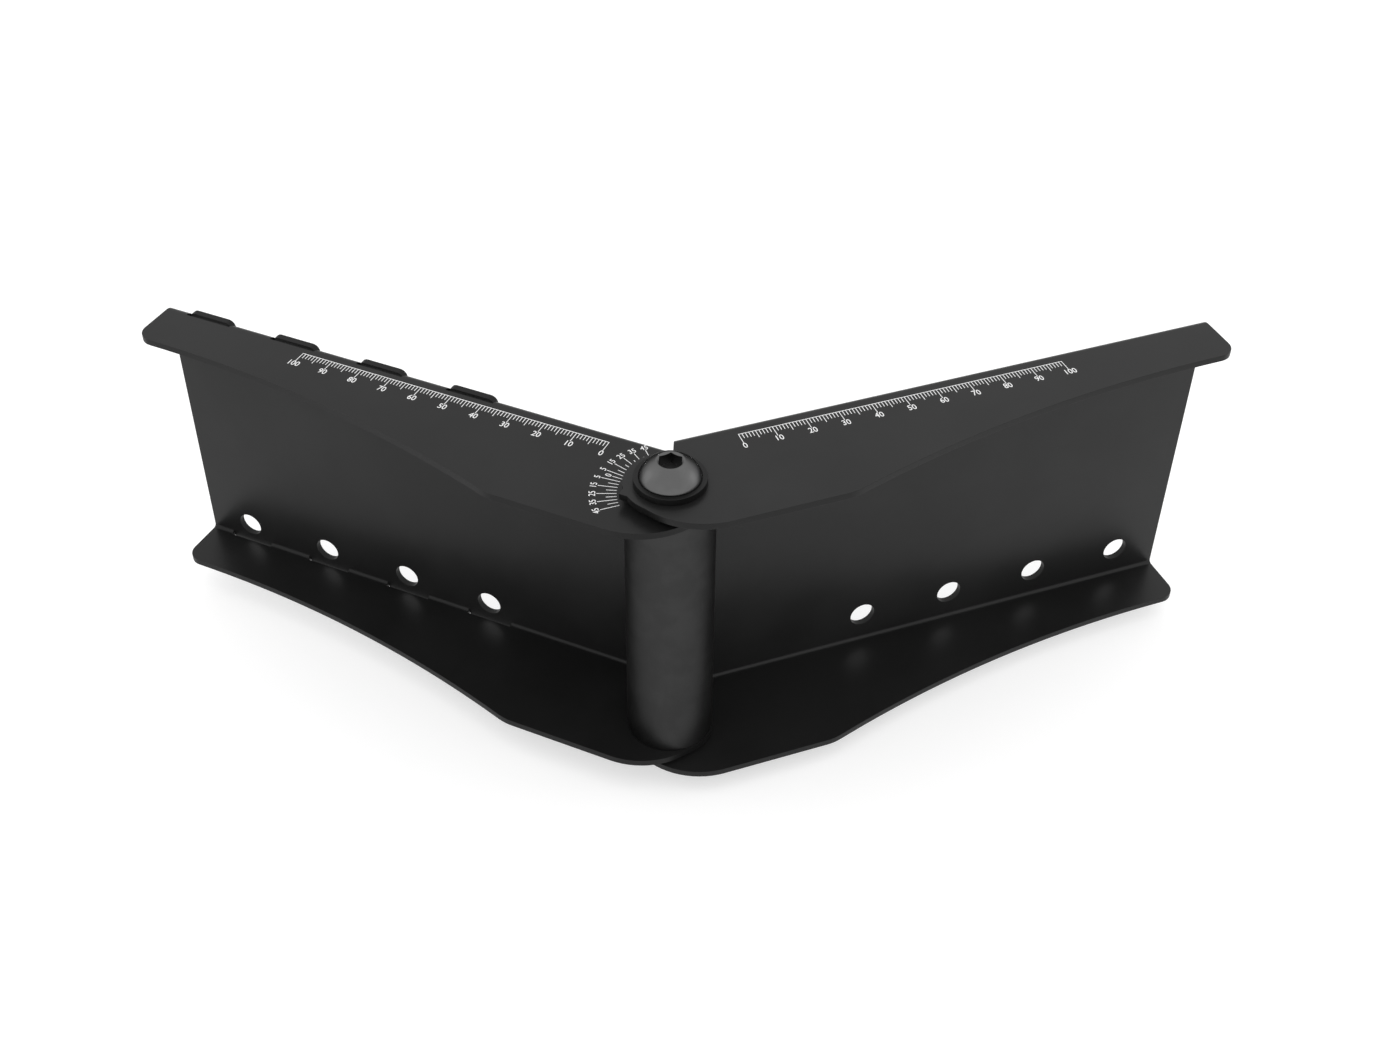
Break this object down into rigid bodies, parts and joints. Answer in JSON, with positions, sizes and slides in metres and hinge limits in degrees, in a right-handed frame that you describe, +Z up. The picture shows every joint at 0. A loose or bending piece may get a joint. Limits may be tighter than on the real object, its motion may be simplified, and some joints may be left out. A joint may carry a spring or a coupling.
{
  "type": "two-arm goniometer",
  "caption": "Adjustable goniometer: two folded black steel channels on a vertical pivot, with millimetre scales, a degree scale and a pointer.",
  "frame": {"origin": "middle of the outline seen from above, at the underside of the lower screw's head", "axes": "+Z up along the pivot axis, X across the spread of the arms with the outer arm at +X, and -Y the open side of the channels, where the user looks from"},
  "size_m": [0.3208, 0.1004, 0.1122],
  "materials": {
    "inner_arm_coat": "fine satin black powder coat with white printed scales",
    "outer_arm_coat": "fine satin black powder coat with a white printed scale",
    "post_coat": "black oxide on a turned steel bar",
    "bush_bronze": "turned bearing bronze",
    "thrust_nylon": "plain black nylon",
    "washer_black": "black oxide steel",
    "screw_steel": "satin black oxide steel"
  },
  "bodies": {
    "inner_arm": {"inner_arm": "inner_arm_coat", "pivot_post": "post_coat", "upper_bush": "bush_bronze", "lower_bush": "bush_bronze", "upper_thrust_washer": "thrust_nylon", "lower_thrust_washer": "thrust_nylon", "upper_washer": "washer_black", "lower_washer": "washer_black", "upper_screw": "screw_steel", "lower_screw": "screw_steel"},
    "outer_arm": {"outer_arm": "outer_arm_coat"}
  },
  "joints": [
    {"name": "arm_pivot", "type": "hinge", "parent": "inner_arm", "child": "outer_arm", "pos_m": [0, -0.03346, 0.05], "axis": [0, 0, -1], "range_deg": [0, 90]}
  ]
}
